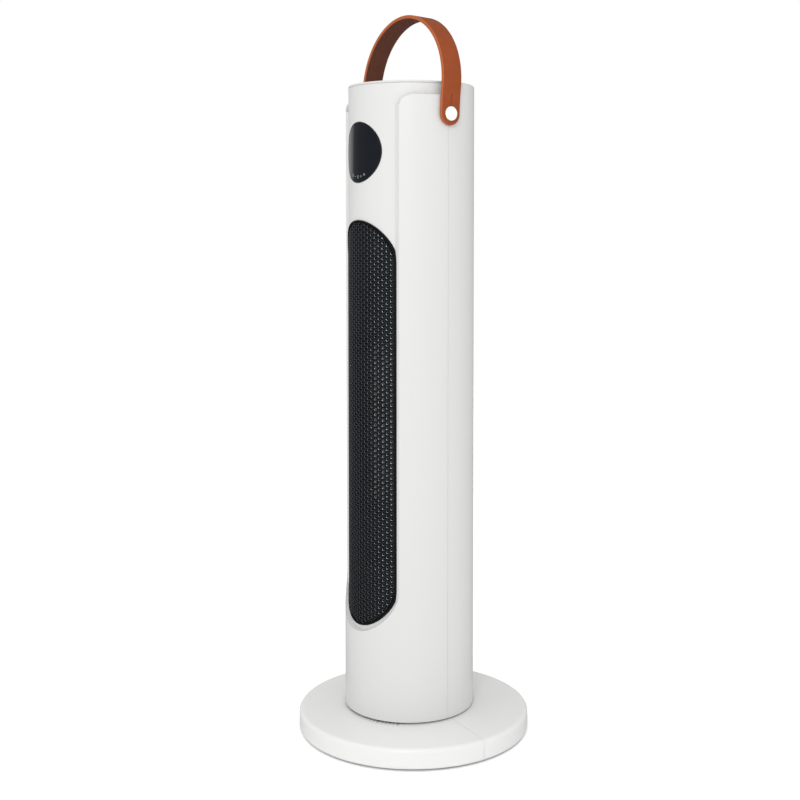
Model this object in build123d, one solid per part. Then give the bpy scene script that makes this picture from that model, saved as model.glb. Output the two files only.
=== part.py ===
from build123d import *
from math import acos, cos, pi, radians, sin, sqrt, tan
import os

# Ceramic tower heater on a round oscillating base. Millimetres, +Z up, the front faces -Y.
# The origin is the centre of the base on the floor. The tower turns about its own axis,
# which stands a little in front of the base centre.

# base
BASE_R = 120.0
BASE_FLOOR_GAP = 2.0
BASE_EDGE_Z = 22.0
BASE_TOP_Z = 27.0
BASE_SKIN = 2.5
BASE_EDGE_ROUND = 4.5
BASE_LOWER_ROUND = 2.4
WELL_R = 60.0
WELL_Z = 20.0
SEAM_GAP = 0.1
FEET, FOOT_R, FOOT_RING_R, FOOT_Z = 8, 8.0, 103.0, 3.0
RIB_T, RIBS = 2.0, 16
HUB_SCREWS, HUB_SCREW_RING_R, HUB_SCREW_R = 4, 52.5, 1.5
GLAND_R, GLAND_BORE_R, GLAND_Z, GLAND_LEN = 6.0, 3.5, 11.0, 14.0

# anything longer or wider than this reaches past the whole heater
FAR = 900.0
WIDE = 90.0

# tower
TOWER_Y = -5.5
TOWER_R = 67.0
WALL = 2.5
RECESS_R = 62.5
LAND_Y = -46.5
LAND_X = sqrt(TOWER_R**2 - LAND_Y**2)
TOWER_Z0 = 28.5
RIM_Z = 666.0
REAR_RIM_Z = 668.5
BAND_Z = 654.5
BAND_CORNER_R = 10.0
BESIDE_CORNER_Y = -18.0

# front grille and display
GRILLE_HALF_W = 44.0
GRILLE_Z0, GRILLE_Z1 = 119.5, 531.5
RECESS_Z0 = GRILLE_Z0 - 5
GRILLE_MESH_R = 63.2
MESH_T = 1.6
FRAME_W = 2.4
DISPLAY_Z = 599.3
DISPLAY_R = 29.2
BEZEL_W = 1.3

# heater core, fan and duct
CORE_Z0, CORE_Z1 = 233.0, 411.0
CORE_HALF_W = 35.0
CORE_Y, CORE_T = -30.0, 16.0
FAN_Y, FAN_R = 18.0, 25.0
FAN_Z0, FAN_Z1 = 240.0, 404.0
FAN_BLADES, FAN_DISCS = 24, 6
SHAFT_R = 2.5
INTAKE_ROWS, INTAKE_PITCH, INTAKE_Z0 = 19, 8.6, 253.0
INTAKE_HALF_DEG = 47.0
INTAKE_COLUMNS = 7
SLOT_H = 3.2

# oscillation drive
GEAR_TEETH, PINION_TEETH, MODULE = 54, 18, 1.0
PRESSURE_DEG = 20.0
BACKLASH = 0.3
GEAR_Z0, GEAR_Z1 = 23.0, 28.0
SPINDLE_R, SPINDLE_BORE_R, SPINDLE_TOP = 15.0, 9.0, 48.2
RETAINER_R, RETAINER_T, RETAINER_SCREWS, RETAINER_RING_R = 19.5, 2.4, 3, 12.0
DRIVE_R = MODULE * (GEAR_TEETH + PINION_TEETH) / 2
TURNTABLE_Z0, TURNTABLE_T = 29.0, 3.0
OSC_MOTOR_R, OSC_MOTOR_H, OSC_SCREW_Y, OSC_EAR_T = 14.0, 19.0, 17.5, 1.2

# handle
STUD_Z = 636.0
STUD_NECK_R, STUD_HEAD_R, STUD_HEAD_T = 4.0, 7.0, 2.6
STRAP_W, STRAP_T = 23.0, 3.6
STRAP_X = TOWER_R + 0.35
STRAP_TOP = 740.5
BOW_DEG, BOW_LEN = 6.0, 18.0
SLIT_W, SLIT_LEN = 0.7, 20.0
STRAP_LEAN_DEG = 2.0

# rear power switch
SWITCH_Z = 75.0
ROCKER_R, ROCKER_HALF_H, ROCKER_HALF_W, ROCKER_Y = 8.0, 5.4, 7.3, 58.6

# housing screws
SCREW_X = 40.0
SCREW_PLACES = [(x, z) for x in (-SCREW_X, SCREW_X) for z in (80.0, 205.0, 560.0)]
SCREW_R, SCREW_HEAD_R, SCREW_HEAD_Y = 1.6, 3.4, 8.0


def cyl(r, z0, z1, x=0.0, y=0.0):
    return Pos(x, y, (z0 + z1) / 2) * Cylinder(r, z1 - z0)


def tube(r_out, r_in, z0, z1, x=0.0, y=0.0):
    return cyl(r_out, z0, z1, x, y) - cyl(r_in, z0 - 1, z1 + 1, x, y)


def block(x0, x1, y0, y1, z0, z1):
    return Pos((x0 + x1) / 2, (y0 + y1) / 2, (z0 + z1) / 2) * Box(x1 - x0, y1 - y0, z1 - z0)


def along_y(r, y0, y1, x=0.0, z=0.0):
    return Pos(x, (y0 + y1) / 2, z) * Rot(90, 0, 0) * Cylinder(r, y1 - y0)


def along_x(r, x0, x1, y=0.0, z=0.0):
    return Pos((x0 + x1) / 2, y, z) * Rot(0, 90, 0) * Cylinder(r, x1 - x0)


def stadium_prism(half_w, z0, z1, y0, y1):
    # a vertical slot shape with full round ends, extruded along Y
    face = block(-half_w, half_w, y0, y1, z0 + half_w, z1 - half_w)
    return face + along_y(half_w, y0, y1, 0, z0 + half_w) + along_y(half_w, y0, y1, 0, z1 - half_w)


def save(shape, node, on_tower=True):
    placed = Pos(0, TOWER_Y, 0) * shape if on_tower else shape
    placed.label = node
    export_step(placed, f"parts/{node}.step")


def group(shapes):
    return Compound([solid for shape in shapes for solid in shape.solids()])


os.makedirs("parts", exist_ok=True)


# ---------------------------------------------------------------- base halves
def base_halves():
    cone_r = TOWER_R - 3
    outline = Polyline((0, BASE_FLOOR_GAP), (BASE_R, BASE_FLOOR_GAP), (BASE_R, BASE_EDGE_Z),
                       (cone_r, BASE_TOP_Z), (0, BASE_TOP_Z), (0, BASE_FLOOR_GAP))
    body = revolve(Plane.XZ * make_face(outline), Axis.Z)
    for end, size in ((-1, BASE_EDGE_ROUND), (0, BASE_LOWER_ROUND)):
        rims = body.edges().filter_by(GeomType.CIRCLE).filter_by(lambda e: abs(e.radius - BASE_R) < 0.01)
        body = fillet(rims.sort_by(Axis.Z)[end], size)

    in_r, in_z = BASE_R - BASE_SKIN, BASE_EDGE_Z - BASE_SKIN
    inner = Polyline((0, 0), (in_r, 0), (in_r, in_z - 2), (in_r - 3, in_z), (cone_r, BASE_TOP_Z - BASE_SKIN),
                     (0, BASE_TOP_Z - BASE_SKIN), (0, 0))
    cavity = revolve(Plane.XZ * make_face(inner), Axis.Z)
    well = cyl(WELL_R, WELL_Z, 40, y=TOWER_Y)
    well_wall = cyl(WELL_R + BASE_SKIN, WELL_Z - BASE_SKIN, BASE_TOP_Z, y=TOWER_Y)
    cavity = cavity - well_wall

    rib = block(WELL_R + 6, BASE_R - BASE_SKIN / 2, -RIB_T / 2, RIB_T / 2, 4, 30)
    ribs = [Rot(0, 0, 360 / RIBS * (i + 0.5)) * rib for i in range(RIBS)]
    posts = [cyl(FOOT_R + 1.5, FOOT_Z, 30, *foot_place(i)) for i in range(FEET)]
    keep = cavity & ribs[0].fuse(*ribs[1:], *posts)
    body = body - cavity + keep
    body = body + [cyl(5, 9, 19, *hub_screw_place(i)) for i in range(HUB_SCREWS)]
    body = body - well - cyl(46, 0, 40, y=TOWER_Y)
    for i in range(HUB_SCREWS):
        body -= cyl(HUB_SCREW_R + 0.2, 0, 30, *hub_screw_place(i))
    body -= along_y(GLAND_R, 100, 130, 0, GLAND_Z)
    front = body & block(-FAR, FAR, -FAR, -SEAM_GAP / 2, -10, 60)
    rear = body & block(-FAR, FAR, SEAM_GAP / 2, FAR, -10, 60)
    return front, rear


def foot_place(i):
    a = radians(360 / FEET * (i + 0.5))
    return FOOT_RING_R * cos(a), FOOT_RING_R * sin(a)


def hub_screw_place(i):
    a = radians(360 / HUB_SCREWS * (i + 0.5))
    return HUB_SCREW_RING_R * cos(a), HUB_SCREW_RING_R * sin(a) + TOWER_Y


base_front, base_rear = base_halves()
save(base_front, "base_front", False)
save(base_rear, "base_rear", False)

feet = [cyl(FOOT_R, 0, FOOT_Z, *foot_place(i)) for i in range(FEET)]
save(group(feet), "base_feet", False)

HUB_SCREW_Z0, HUB_SCREW_Z1 = 9.0, 22.6
hub_screws = []
for i in range(HUB_SCREWS):
    shank = cyl(HUB_SCREW_R, HUB_SCREW_Z0, HUB_SCREW_Z1, *hub_screw_place(i))
    hub_screws.append(shank + cyl(3.2, HUB_SCREW_Z0 - 2.4, HUB_SCREW_Z0, *hub_screw_place(i)))
save(group(hub_screws), "base_screws", False)

gland_y = sqrt(BASE_R**2 - GLAND_R**2) - 0.2
gland = along_y(GLAND_R - 0.05, gland_y - GLAND_LEN, gland_y, 0, GLAND_Z)
gland += along_y(GLAND_R + 1.6, BASE_R - BASE_SKIN - 5.5, BASE_R - BASE_SKIN - 3.2, 0, GLAND_Z)
gland -= along_y(GLAND_BORE_R, 90, 130, 0, GLAND_Z)
save(gland, "cord_gland", False)


# ---------------------------------------------------------------- oscillation drive
def involute(angle):
    return tan(angle) - angle


def gear(teeth, z0, z1, phase_deg=0.0):
    pitch = MODULE * teeth / 2
    base = pitch * cos(radians(PRESSURE_DEG))
    root, tip = pitch - 1.25 * MODULE, pitch + 0.95 * MODULE
    half = pi / (2 * teeth) - BACKLASH / (2 * pitch)
    start = max(base, root)
    radii = [start + (tip - start) * k / 5 for k in range(6)]

    def half_width(r):
        return half + involute(radians(PRESSURE_DEG)) - involute(acos(min(1.0, base / r)))

    points = []
    for i in range(teeth):
        mid = 2 * pi * i / teeth + radians(phase_deg)
        flank = [(r, half_width(r)) for r in radii]
        if root < start:
            flank.insert(0, (root, half_width(start)))
        side_a = [(r * cos(mid - w), r * sin(mid - w)) for r, w in flank]
        side_b = [(r * cos(mid + w), r * sin(mid + w)) for r, w in reversed(flank)]
        points += side_a + side_b
    face = make_face(Polyline(*points, close=True))
    return Pos(0, 0, z0) * extrude(face, z1 - z0)


hub = cyl(WELL_R - 1.0, WELL_Z, GEAR_Z0) + cyl(45.5, 14, GEAR_Z0) + cyl(SPINDLE_R, 14, SPINDLE_TOP)
hub -= tube(42.5, 18, 0, 20)
hub -= cyl(SPINDLE_BORE_R, 0, 100)
for i in range(HUB_SCREWS):
    hx, hy = hub_screw_place(i)
    hub -= cyl(HUB_SCREW_R, 0, HUB_SCREW_Z1, hx, hy - TOWER_Y)


def retainer_screw_place(i):
    a = radians(90 + 360 / RETAINER_SCREWS * i)
    return RETAINER_RING_R * cos(a), RETAINER_RING_R * sin(a)


for i in range(RETAINER_SCREWS):
    hub -= cyl(1.2, SPINDLE_TOP - 8, SPINDLE_TOP + 1, *retainer_screw_place(i))
save(hub, "pedestal_hub")

fixed_gear = gear(GEAR_TEETH, GEAR_Z0, GEAR_Z1) - cyl(SPINDLE_R, 0, 60)
save(fixed_gear, "fixed_gear")

save(tube(56, 50, GEAR_Z0, TURNTABLE_Z0 - 0.1), "glide_ring")

head_z = SPINDLE_TOP + RETAINER_T
retainer = tube(RETAINER_R, SPINDLE_BORE_R, SPINDLE_TOP, head_z)
retainer_screws = []
for i in range(RETAINER_SCREWS):
    x, y = retainer_screw_place(i)
    retainer -= cyl(1.2, SPINDLE_TOP - 1, SPINDLE_TOP + 4, x, y)
    retainer_screws.append(cyl(1.2, SPINDLE_TOP - 7.5, head_z, x, y) + cyl(2.4, head_z, head_z + 1.8, x, y))
save(retainer, "spindle_retainer")
save(group(retainer_screws), "retainer_screws")

pinion = gear(PINION_TEETH, GEAR_Z0 + 1.3, GEAR_Z1 + 0.3, 180.0 / PINION_TEETH + 180)
pinion += cyl(SHAFT_R, GEAR_Z0 + 1.3, 46)
save(Pos(DRIVE_R, 0, 0) * pinion, "drive_pinion")

motor_z0 = TURNTABLE_Z0 + TURNTABLE_T
ear_z1 = motor_z0 + OSC_EAR_T
osc_motor = cyl(OSC_MOTOR_R, motor_z0, motor_z0 + OSC_MOTOR_H, DRIVE_R)
osc_ears = block(DRIVE_R - 3.5, DRIVE_R + 3.5, -OSC_SCREW_Y - 3.5, OSC_SCREW_Y + 3.5, motor_z0, ear_z1)
osc_motor += osc_ears + block(DRIVE_R - 17, DRIVE_R - 8, -7, 7, motor_z0 + 3, motor_z0 + 16)
osc_motor -= cyl(SHAFT_R + 0.05, 0, 46.5, DRIVE_R)
osc_screws = []
for side in (-1, 1):
    osc_motor -= cyl(1.5, 0, 60, DRIVE_R, OSC_SCREW_Y * side)
    screw = cyl(1.5, motor_z0 - 2.6, ear_z1, DRIVE_R, OSC_SCREW_Y * side)
    osc_screws.append(screw + cyl(2.8, ear_z1, ear_z1 + 1.8, DRIVE_R, OSC_SCREW_Y * side))
save(osc_motor, "oscillation_motor")
save(group(osc_screws), "oscillation_motor_screws")


# ---------------------------------------------------------------- turntable and housings
def turntable():
    r = TOWER_R - WALL - 0.2
    plate = cyl(r, TURNTABLE_Z0, motor_z0) + tube(r, r - 2, motor_z0, motor_z0 + 8)
    plate += cyl(RETAINER_R - 0.5, TURNTABLE_Z0, SPINDLE_TOP - 0.3)
    plate -= cyl(SPINDLE_R + 0.08, 0, 100)
    plate -= cyl(3.4, 0, motor_z0 + 1, DRIVE_R)
    for side in (-1, 1):
        plate -= cyl(1.5, motor_z0 - 2.6, motor_z0 + 1, DRIVE_R, OSC_SCREW_Y * side)
    return plate


save(turntable(), "turntable")


def screw_boss(x, z, y0, y1, r):
    edge = TOWER_R - 1 if x > 0 else 1 - TOWER_R
    web = block(min(x, edge), max(x, edge), y0, y1, z - 1.5, z + 1.5)
    return along_y(r, y0, y1, x, z) + web


def front_housing():
    body = cyl(TOWER_R, TOWER_Z0, RIM_Z)
    # the raised side panels end below the rim, with round corners
    recess_mid = RECESS_Z0 + LAND_X
    recess = block(-LAND_X, LAND_X, -WIDE, 0, recess_mid, BAND_Z + 5)
    recess += along_y(LAND_X, -WIDE, LAND_Y, 0, recess_mid)
    recess = recess & block(-WIDE, WIDE, -WIDE, LAND_Y, 0, FAR)
    band = block(-WIDE, WIDE, -WIDE, 1, BAND_Z, FAR)
    corner_x, corner_z = LAND_X + BAND_CORNER_R, BAND_Z - BAND_CORNER_R
    corners = block(LAND_X - 1, corner_x, -WIDE, -20, corner_z, BAND_Z + 1)
    corners -= along_y(BAND_CORNER_R, -WIDE - 5, 0, corner_x, corner_z)
    corners += mirror(corners, Plane.YZ)
    body -= (recess + band + corners) - cyl(RECESS_R, 0, FAR)

    cavity = cyl(TOWER_R - WALL, 0, BAND_Z - BAND_CORNER_R - WALL) & block(-WIDE, WIDE, LAND_Y + WALL, WIDE, 0, FAR)
    # behind the round corners the wall stays thick
    cavity += cyl(TOWER_R - WALL, 0, BAND_Z - WALL) & block(-WIDE, WIDE, BESIDE_CORNER_Y, WIDE, 0, FAR)
    cavity += cyl(TOWER_R - WALL, 0, RECESS_Z0 - WALL)
    cavity += cyl(RECESS_R - WALL, 0, FAR)
    for x, z in SCREW_PLACES:
        cavity -= screw_boss(x, z, -15, 0, 4.5) & cyl(TOWER_R - 1, 0, FAR)
    body -= cavity
    body &= block(-WIDE, WIDE, -WIDE, -SEAM_GAP / 2, 0, FAR)
    for x, z in SCREW_PLACES:
        body -= along_y(SCREW_R, -13, 1, x, z)
    body -= stadium_prism(GRILLE_HALF_W, GRILLE_Z0, GRILLE_Z1, -WIDE, -20)
    body -= along_y(DISPLAY_R + BEZEL_W, -WIDE, -20, 0, DISPLAY_Z)
    body -= along_x(STUD_NECK_R + 0.05, -WIDE, WIDE, 0, STUD_Z)
    return body


def intake_slots():
    # rows of short slots, split by upright ribs, across the back of the tower
    pitch_deg = 2 * INTAKE_HALF_DEG / INTAKE_COLUMNS
    ring = tube(TOWER_R + 2, TOWER_R - WALL - 2, INTAKE_Z0 - SLOT_H / 2, INTAKE_Z0 + SLOT_H / 2)
    half = radians(pitch_deg / 2 - 1.1)
    wedge = make_face(Polyline((0, 0), (WIDE * cos(half), -WIDE * sin(half)),
                               (WIDE * cos(half), WIDE * sin(half)), (0, 0)))
    wedge = Pos(0, 0, INTAKE_Z0 - 5) * extrude(wedge, 10)
    row = [ring & (Rot(0, 0, 90 - INTAKE_HALF_DEG + pitch_deg * (c + 0.5)) * wedge) for c in range(INTAKE_COLUMNS)]
    return [Pos(0, 0, INTAKE_PITCH * k) * s for k in range(INTAKE_ROWS) for s in row]


def rear_housing():
    body = cyl(TOWER_R, TOWER_Z0, REAR_RIM_Z)
    body = fillet(body.edges().sort_by(Axis.Z)[-1], 1.6)
    cavity = cyl(TOWER_R - WALL, 0, REAR_RIM_Z - 3) + cyl(RECESS_R + 0.1, 0, FAR)
    pad = block(-16, 16, 58.5, 66, SWITCH_Z - 13, SWITCH_Z + 13)
    cavity -= pad
    for x, z in SCREW_PLACES:
        cavity -= screw_boss(x, z, 0, 60, 5.2) & cyl(TOWER_R - 1, 0, FAR)
    body -= cavity
    body &= block(-WIDE, WIDE, SEAM_GAP / 2, WIDE, 0, FAR)
    for x, z in SCREW_PLACES:
        body -= along_y(SCREW_R, -1, WIDE, x, z)
        body -= along_y(SCREW_HEAD_R + 0.3, SCREW_HEAD_Y, WIDE, x, z)
    body = body.cut(*intake_slots())
    body -= block(-12.5, 12.5, 64, WIDE, SWITCH_Z - 10.5, SWITCH_Z + 10.5)
    body -= block(-9.6, 9.6, 40, WIDE, SWITCH_Z - 8.1, SWITCH_Z + 8.1)
    body -= along_x(STUD_NECK_R + 0.05, -WIDE, WIDE, 0, STUD_Z)
    return body


save(front_housing(), "front_housing")
save(rear_housing(), "rear_housing")

housing_screws = []
for x, z in SCREW_PLACES:
    shank = along_y(SCREW_R, -12, SCREW_HEAD_Y, x, z)
    housing_screws.append(shank + along_y(SCREW_HEAD_R, SCREW_HEAD_Y, SCREW_HEAD_Y + 2.6, x, z))
save(group(housing_screws), "housing_screws")

CAP_GAP, CAP_DOME_R, CAP_RISE = 0.1, 1400.0, 1.2
cap = cyl(RECESS_R, RIM_Z + CAP_GAP, REAR_RIM_Z)
cap = fillet(cap.edges().sort_by(Axis.Z)[-1], 0.8)
dome = Pos(0, 0, REAR_RIM_Z + CAP_RISE - CAP_DOME_R) * Sphere(CAP_DOME_R) & cyl(RECESS_R - 4, REAR_RIM_Z - 1, REAR_RIM_Z + 3)
cap += dome
cap += tube(RECESS_R - WALL - 0.2, RECESS_R - WALL - 2.4, RIM_Z - 6, RIM_Z + 1)
save(cap, "top_cap")


# ---------------------------------------------------------------- front grille and display
def front_shell(r_out, r_in):
    return tube(r_out, r_in, 0, FAR) & block(-WIDE, WIDE, -WIDE, -10, 0, FAR)


FLANGE_R = 57.6
frame_cut = stadium_prism(GRILLE_HALF_W - FRAME_W, GRILLE_Z0 + FRAME_W, GRILLE_Z1 - FRAME_W, -WIDE, -10)
frame_outer = stadium_prism(GRILLE_HALF_W - 0.1, GRILLE_Z0 + 0.1, GRILLE_Z1 - 0.1, -WIDE, -10)
flange_outer = stadium_prism(GRILLE_HALF_W + 3, GRILLE_Z0 - 3, GRILLE_Z1 + 3, -WIDE, -10)
flange = (flange_outer & front_shell(RECESS_R - WALL - 0.1, FLANGE_R)) & block(-WIDE, WIDE, -WIDE, -37, 0, FAR)
grille_frame = ((frame_outer & front_shell(GRILLE_MESH_R + 0.5, FLANGE_R)) + flange) - frame_cut
save(grille_frame, "grille_frame")

mesh_half = GRILLE_HALF_W - FRAME_W - 0.05
mesh_sheet = stadium_prism(mesh_half, GRILLE_Z0 + FRAME_W + 0.05, GRILLE_Z1 - FRAME_W - 0.05, -WIDE, -10)
mesh_sheet = mesh_sheet & front_shell(GRILLE_MESH_R, GRILLE_MESH_R - MESH_T)
MESH_ROWS, MESH_COLUMNS, MESH_PITCH_X, MESH_PITCH_Z = 36, 5, 13.0, 10.3
slots = []
for k in range(MESH_ROWS):
    z = GRILLE_Z0 + 26 + k * MESH_PITCH_Z
    for c in range(MESH_COLUMNS):
        x = (c - (MESH_COLUMNS - 1) / 2) * MESH_PITCH_X
        slots.append(block(x - 4.5, x + 4.5, -WIDE, -30, z - 3, z + 3))
mesh_sheet = mesh_sheet.cut(*slots)
save(mesh_sheet, "grille_mesh")

lens = along_y(DISPLAY_R - 0.05, -WIDE, -20, 0, DISPLAY_Z) & front_shell(RECESS_R + 0.5, RECESS_R - 2.2)
save(lens, "display_lens")
bezel = along_y(DISPLAY_R + BEZEL_W - 0.05, -WIDE, -20, 0, DISPLAY_Z) - along_y(DISPLAY_R, -WIDE, -20, 0, DISPLAY_Z)
bezel = bezel & front_shell(RECESS_R + 0.3, RECESS_R - 4.0)
save(bezel, "display_bezel")
save(block(-17.5, 17.5, -56, -50.6, DISPLAY_Z - 9, DISPLAY_Z + 9), "display_module")
BOARD_R, HOLDER_R = 27.0, 29.0
save(along_y(BOARD_R, -50.6, -49, 0, DISPLAY_Z), "display_board")
holder = along_y(HOLDER_R, -49, -46, 0, DISPLAY_Z) - along_y(BOARD_R - 3, -60, -40, 0, DISPLAY_Z)
holder += along_y(HOLDER_R, -52, -49, 0, DISPLAY_Z) - along_y(BOARD_R + 0.1, -60, -40, 0, DISPLAY_Z)
for side in (-1, 1):
    holder += block(min(27.5 * side, 47 * side), max(27.5 * side, 47 * side), -49, -46.2,
                    DISPLAY_Z - 8, DISPLAY_Z + 8) & cyl(TOWER_R - WALL, 0, FAR)
holder = holder & block(-47, 47, -WIDE, LAND_Y + WALL, 0, FAR) & cyl(RECESS_R - WALL - 0.1, 0, FAR)
save(holder, "display_holder")


# ---------------------------------------------------------------- duct, heater core
def air_duct():
    # black liner behind the mesh, with a flared duct to the heater core
    liner = stadium_prism(mesh_half - 0.3, GRILLE_Z0 + 3, GRILLE_Z1 - 3, -WIDE, -10) & front_shell(57.5, 56.3)
    z0, z1 = CORE_Z0 - 2, CORE_Z1 + 2
    mouth, neck = 38.0, CORE_HALF_W
    outer = Polyline((-mouth - 2, -40), (-mouth - 2, -41.5), (mouth + 2, -41.5), (mouth + 2, -40),
                     (neck + 2, CORE_Y), (-neck - 2, CORE_Y), close=True)
    flare = Pos(0, 0, z0 - 2) * extrude(make_face(outer), z1 - z0 + 4)
    hood = block(-mouth - 2, mouth + 2, -57.4, -41.5, z0 - 2, z1 + 2) & cyl(56.9, 0, FAR)
    inner = Polyline((-mouth, -WIDE), (mouth, -WIDE), (mouth, -41), (neck, CORE_Y + 1), (-neck, CORE_Y + 1),
                     (-mouth, -41), close=True)
    passage = Pos(0, 0, z0) * extrude(make_face(inner), z1 - z0)
    return liner + flare + hood - passage


save(air_duct(), "air_duct")

core_y1 = CORE_Y + CORE_T
frame = block(-CORE_HALF_W, CORE_HALF_W, CORE_Y, core_y1, CORE_Z0, CORE_Z1)
frame -= block(-CORE_HALF_W + 2.5, CORE_HALF_W - 2.5, CORE_Y - 1, core_y1 + 1, CORE_Z0 + 7, CORE_Z1 - 7)
save(frame, "heater_frame")

BAR_COUNT, BAR_T = 4, 2.4
FIN_COUNT, FIN_PITCH, FIN_T = 27, 6.0, 0.6
inner_w = 2 * (CORE_HALF_W - 2.5)
bay = (inner_w - BAR_COUNT * BAR_T) / (BAR_COUNT + 1)
bars = []
fins = []
for i in range(BAR_COUNT + 1):
    x = -inner_w / 2 + i * (bay + BAR_T)
    if i < BAR_COUNT:
        bars.append(block(x + bay, x + bay + BAR_T, CORE_Y + 1.5, core_y1 - 1.5, CORE_Z0 + 7, CORE_Z1 - 7))
    stack = [block(x, x + 0.5, CORE_Y + 2, core_y1 - 2, CORE_Z0 + 8, CORE_Z1 - 8),
             block(x + bay - 0.5, x + bay, CORE_Y + 2, core_y1 - 2, CORE_Z0 + 8, CORE_Z1 - 8)]
    for k in range(FIN_COUNT):
        z = CORE_Z0 + 11 + k * FIN_PITCH
        stack.append(block(x, x + bay, CORE_Y + 2, core_y1 - 2, z, z + FIN_T))
    fins.append(stack[0].fuse(*stack[1:]))
save(group(bars), "ceramic_bars")
save(group(fins), "heater_fins")

cutout = cyl(6, CORE_Z1, CORE_Z1 + 4, 22, CORE_Y + 8) + block(14, 30, CORE_Y + 5, CORE_Y + 11, CORE_Z1, CORE_Z1 + 1.4)
save(cutout, "thermal_cutout")


# ---------------------------------------------------------------- cross-flow fan
def impeller():
    discs = []
    step = (FAN_Z1 - FAN_Z0 - 1.6) / (FAN_DISCS - 1)
    for k in range(FAN_DISCS):
        z = FAN_Z0 + k * step
        end = k in (0, FAN_DISCS - 1)
        discs.append(tube(FAN_R, SHAFT_R if end else FAN_R - 6, z, z + 1.6))
    hubs = [tube(7, SHAFT_R, FAN_Z0, FAN_Z0 + 8), tube(7, SHAFT_R, FAN_Z1 - 8, FAN_Z1)]
    blade = Rot(0, 0, 32) * block(-3.0, 3.0, -0.45, 0.45, FAN_Z0, FAN_Z1)
    blades = [Rot(0, 0, 360 * i / FAN_BLADES) * Pos(FAN_R - 3.2, 0, 0) * blade for i in range(FAN_BLADES)]
    body = discs[0].fuse(*discs[1:], *hubs, *blades)
    return body & cyl(FAN_R, FAN_Z0, FAN_Z1)


FAN = Pos(0, FAN_Y, 0)
save(FAN * impeller(), "impeller")
MOTOR_Z0, MOTOR_Z1 = 198.0, 226.0
PLATE_Z0, PLATE_Z1 = 226.0, 229.0
BUSH_Z0, BUSH_Z1 = 410.0, 418.0
save(FAN * cyl(SHAFT_R, MOTOR_Z0 + 3, BUSH_Z1 - 1), "fan_shaft")

motor = cyl(26, MOTOR_Z0, MOTOR_Z1) - cyl(SHAFT_R + 0.05, MOTOR_Z0 + 2, MOTOR_Z1 + 1)
motor = chamfer(motor.edges().filter_by(GeomType.CIRCLE).sort_by(Axis.Z)[0], 2.5)
save(FAN * motor, "fan_motor")

inside = cyl(TOWER_R - WALL - 1.5, 0, FAR)
motor_plate = block(-46, 46, core_y1 + 1, 55, PLATE_Z0, PLATE_Z1) & inside
motor_plate -= cyl(6, 0, FAR, 0, FAN_Y)
motor_fixings = []
for i in range(3):
    a = radians(90 + 120 * i)
    x, y = 18 * cos(a), FAN_Y + 18 * sin(a)
    motor_plate -= cyl(1.6, 0, FAR, x, y)
    motor_fixings.append(cyl(1.6, PLATE_Z0, PLATE_Z1, x, y) + cyl(3, PLATE_Z1, PLATE_Z1 + 2, x, y))
save(motor_plate, "motor_bracket")
save(group(motor_fixings), "motor_screws")

bush = tube(7, SHAFT_R + 0.05, BUSH_Z0, BUSH_Z1) + tube(9, 7, BUSH_Z0 + 3, BUSH_Z0 + 5)
save(FAN * bush, "shaft_bush")
bearing_plate = block(-46, 46, core_y1 + 1, 55, BUSH_Z0, BUSH_Z0 + 3) & inside
bearing_plate -= cyl(7, 0, FAR, 0, FAN_Y)
save(bearing_plate, "bearing_bracket")


def fan_scroll():
    # two curved side walls that lead the air from the rear slots through the impeller to the core
    z0, z1 = PLATE_Z1, BUSH_Z0
    gap = FAN_R + 3.0
    ring = tube(gap + 2, gap, z0, z1, 0, FAN_Y)
    right = ring & block(8, 60, FAN_Y - 16, FAN_Y + 60, z0, z1)
    left = ring & block(-60, -20, FAN_Y - 19, FAN_Y - 6, z0, z1)
    x_r = sqrt((gap + 1) ** 2 - 16**2)
    x_l = sqrt((gap + 1) ** 2 - 19**2)
    out = [right, left]
    for side, x_in, y_in in ((1, x_r, FAN_Y - 16), (-1, x_l, FAN_Y - 19)):
        points = [(side * (x_in - 1.5), y_in + 2), (side * (x_in + 1.5), y_in + 2),
                  (side * CORE_HALF_W, core_y1 + 3), (side * CORE_HALF_W, core_y1),
                  (side * (CORE_HALF_W - 2.4), core_y1), (side * (CORE_HALF_W - 2.4), core_y1 + 2)]
        out.append(Pos(0, 0, z0) * extrude(make_face(Polyline(*points, close=True)), z1 - z0))
    return out


scroll = fan_scroll()
save(group([scroll[0] + scroll[2], scroll[1] + scroll[3]]), "fan_scroll")

# ---------------------------------------------------------------- electrics
BOARD_Y = 12.0
power_board = block(-40, 40, BOARD_Y, BOARD_Y + 1.6, 92, 182)
save(power_board, "power_board")
relays = [block(x - 8, x + 8, BOARD_Y - 15, BOARD_Y, 150, 171) for x in (-24, -4)]
save(group(relays), "relays")
save(block(12, 34, BOARD_Y - 12, BOARD_Y, 150, 168), "filter_capacitor")
save(block(-30, 30, BOARD_Y - 13, BOARD_Y, 96, 108), "terminal_block")
save(block(-34, -16, BOARD_Y - 12, BOARD_Y, 116, 130), "tilt_switch")
standoffs = []
for x in (-36, 36):
    for z in (98, 176):
        reach = sqrt((TOWER_R - WALL) ** 2 - (abs(x) + 3) ** 2)
        standoffs.append(along_y(3, BOARD_Y + 1.6, reach, x, z))
save(group(standoffs), "board_standoffs")

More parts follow.
